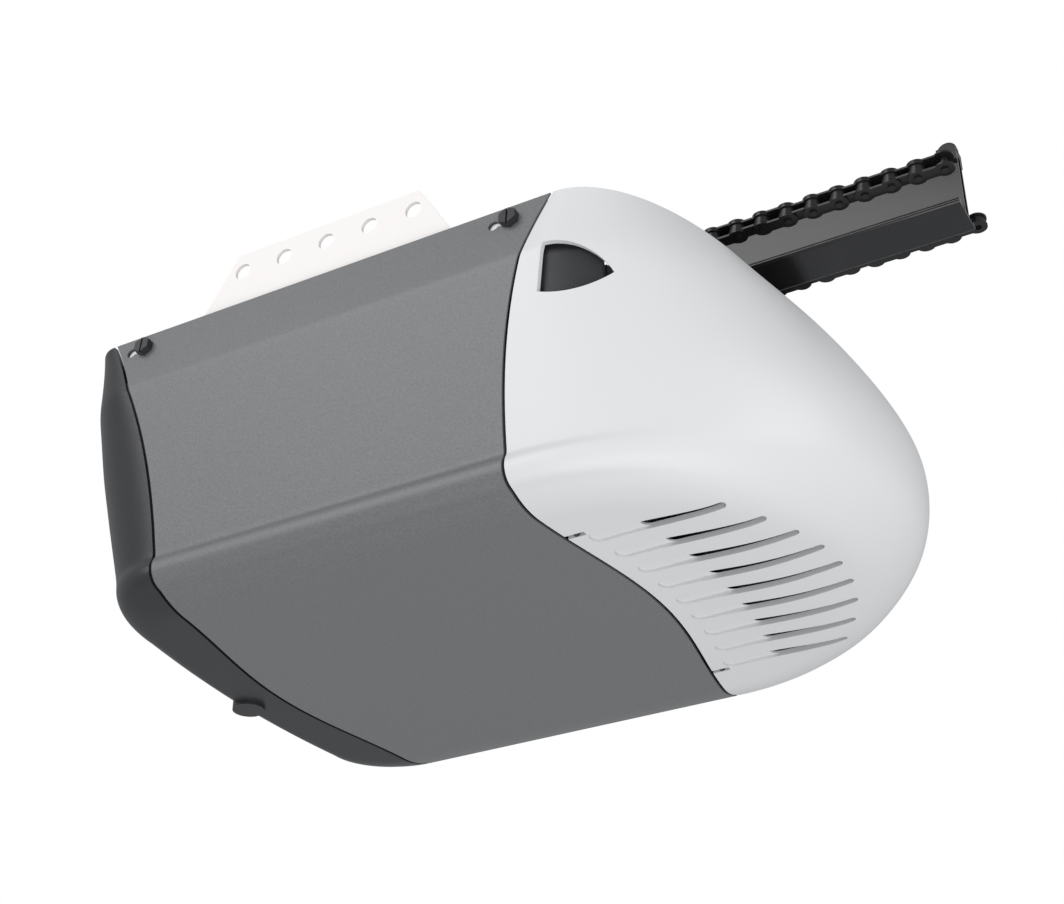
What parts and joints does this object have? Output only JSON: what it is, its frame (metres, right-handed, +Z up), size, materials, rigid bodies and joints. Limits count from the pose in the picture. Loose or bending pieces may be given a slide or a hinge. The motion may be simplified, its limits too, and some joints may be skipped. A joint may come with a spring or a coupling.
{
  "type": "garage door opener",
  "caption": "Ceiling-hung chain-drive opener powerhead with sheet cover, dark rear cap, hinged white light lens, T rail stub and chain, worm-geared motor inside",
  "frame": {"origin": "top face of the chassis on the plane of symmetry, midway along the cover, between the two hanger flanges", "axes": "+X along the rail towards the door, +Z up, Y = 0 is the plane of symmetry of the housing"},
  "size_m": [0.4182, 0.2738, 0.2065],
  "materials": {
    "cover_paint": "fine-textured grey powder coat",
    "lens_white": "satin white translucent moulding",
    "cap_plastic": "fine-grained dark grey moulding",
    "zinc_sheet": "galvanised sheet",
    "hanger_zinc": "off-white coated sheet",
    "dark_screw": "black oxide",
    "bright_steel": "zinc plated",
    "rail_black": "gloss black paint",
    "chain_black": "oiled black steel",
    "black_plastic": "moulded",
    "bronze": "sintered",
    "cast_alloy": "die cast",
    "gear_nylon": "natural nylon",
    "lamination": "stacked sheet",
    "copper_wire": "enamelled wire",
    "can_alloy": "drawn can",
    "board_green": "solder mask",
    "terminal_grey": "moulded",
    "lamp_lens": "clear amber",
    "button_amber": "moulded",
    "button_black": "moulded",
    "socket_white": "porcelain-like moulding",
    "bulb_white": "frosted"
  },
  "bodies": {
    "frame": {"bearing_plate": "cast_alloy", "board_relays": "black_plastic", "board_screws": "bright_steel", "capacitor": "can_alloy", "capacitor_clip": "zinc_sheet", "chain_far": "chain_black", "chain_near": "chain_black", "chain_spreader": "black_plastic", "chain_wrap": "chain_black", "chassis": "zinc_sheet", "chassis_screws": "bright_steel", "control_panel": "cap_plastic", "cord_gland": "black_plastic", "cover_screws": "dark_screw", "front_panel": "cap_plastic", "gear_frame": "zinc_sheet", "hanger_far": "hanger_zinc", "hanger_near": "hanger_zinc", "hinge_pins": "bright_steel", "lamp_socket": "socket_white", "light_bulb": "bulb_white", "logic_board": "board_green", "motor_bolts": "bright_steel", "motor_bushings": "bronze", "motor_front_bell": "cast_alloy", "motor_rear_bell": "cast_alloy", "motor_stator": "lamination", "motor_windings": "copper_wire", "rail": "rail_black", "rail_bolts": "bright_steel", "rail_bracket": "rail_black", "rail_nuts": "bright_steel", "rear_cap": "cap_plastic", "rear_cap_screws": "dark_screw", "shaft_bushings": "bronze", "speed_sensor": "black_plastic", "sprocket_guard": "black_plastic", "status_lamp": "lamp_lens", "tact_switches": "black_plastic", "terminal_block": "terminal_grey", "transformer_coil": "copper_wire", "transformer_core": "lamination", "wrap_cover": "cover_paint"},
    "lens": {"light_lens": "lens_white", "vent_screen": "black_plastic"},
    "latch_near": {"latch_near": "cap_plastic"},
    "latch_far": {"latch_far": "cap_plastic"},
    "learn_button": {"learn_button": "button_amber"},
    "up_button": {"up_button": "button_black"},
    "down_button": {"down_button": "button_black"},
    "adjust_button": {"adjust_button": "button_black"},
    "drive": {"drive_shaft": "bright_steel", "sprocket": "bright_steel", "shaft_ring": "bright_steel", "worm_wheel": "gear_nylon"},
    "rotor": {"rotor_core": "lamination", "motor_shaft": "bright_steel", "worm": "bright_steel", "speed_cup": "black_plastic"}
  },
  "joints": [
    {"name": "lens_hinge", "type": "hinge", "parent": "frame", "child": "lens", "pos_m": [0.1, 0, -0.1348], "axis": [0, 1, 0], "range_deg": [0, 70]},
    {"name": "latch_near_press", "type": "slide", "parent": "frame", "child": "latch_near", "axis": [0, 1, 0], "range_m": [0, 0.003], "stiffness_N_per_m": 400, "springref_m": -0.002},
    {"name": "latch_far_press", "type": "slide", "parent": "frame", "child": "latch_far", "axis": [0, -1, 0], "range_m": [0, 0.003], "stiffness_N_per_m": 400, "springref_m": -0.002},
    {"name": "motor_spin", "type": "hinge", "parent": "frame", "child": "rotor", "pos_m": [0, -0.037, -0.048], "axis": [1, 0, 0], "continuous": true},
    {"name": "sprocket_spin", "type": "hinge", "parent": "frame", "child": "drive", "pos_m": [0.0359, 0, 0], "axis": [0, 0, 1], "continuous": true, "deforming": ["chain_wrap", "chain_near", "chain_far"]},
    {"name": "learn_button_press", "type": "slide", "parent": "frame", "child": "learn_button", "axis": [1, 0, 0], "range_m": [0, 0.001], "stiffness_N_per_m": 600, "springref_m": -0.001},
    {"name": "up_button_press", "type": "slide", "parent": "frame", "child": "up_button", "axis": [1, 0, 0], "range_m": [0, 0.001], "stiffness_N_per_m": 600, "springref_m": -0.001},
    {"name": "down_button_press", "type": "slide", "parent": "frame", "child": "down_button", "axis": [1, 0, 0], "range_m": [0, 0.001], "stiffness_N_per_m": 600, "springref_m": -0.001},
    {"name": "adjust_button_press", "type": "slide", "parent": "frame", "child": "adjust_button", "axis": [1, 0, 0], "range_m": [0, 0.001], "stiffness_N_per_m": 600, "springref_m": -0.001}
  ],
  "couplings": [
    {"joint": "sprocket_spin", "follows": "motor_spin", "ratio": -0.04}
  ]
}
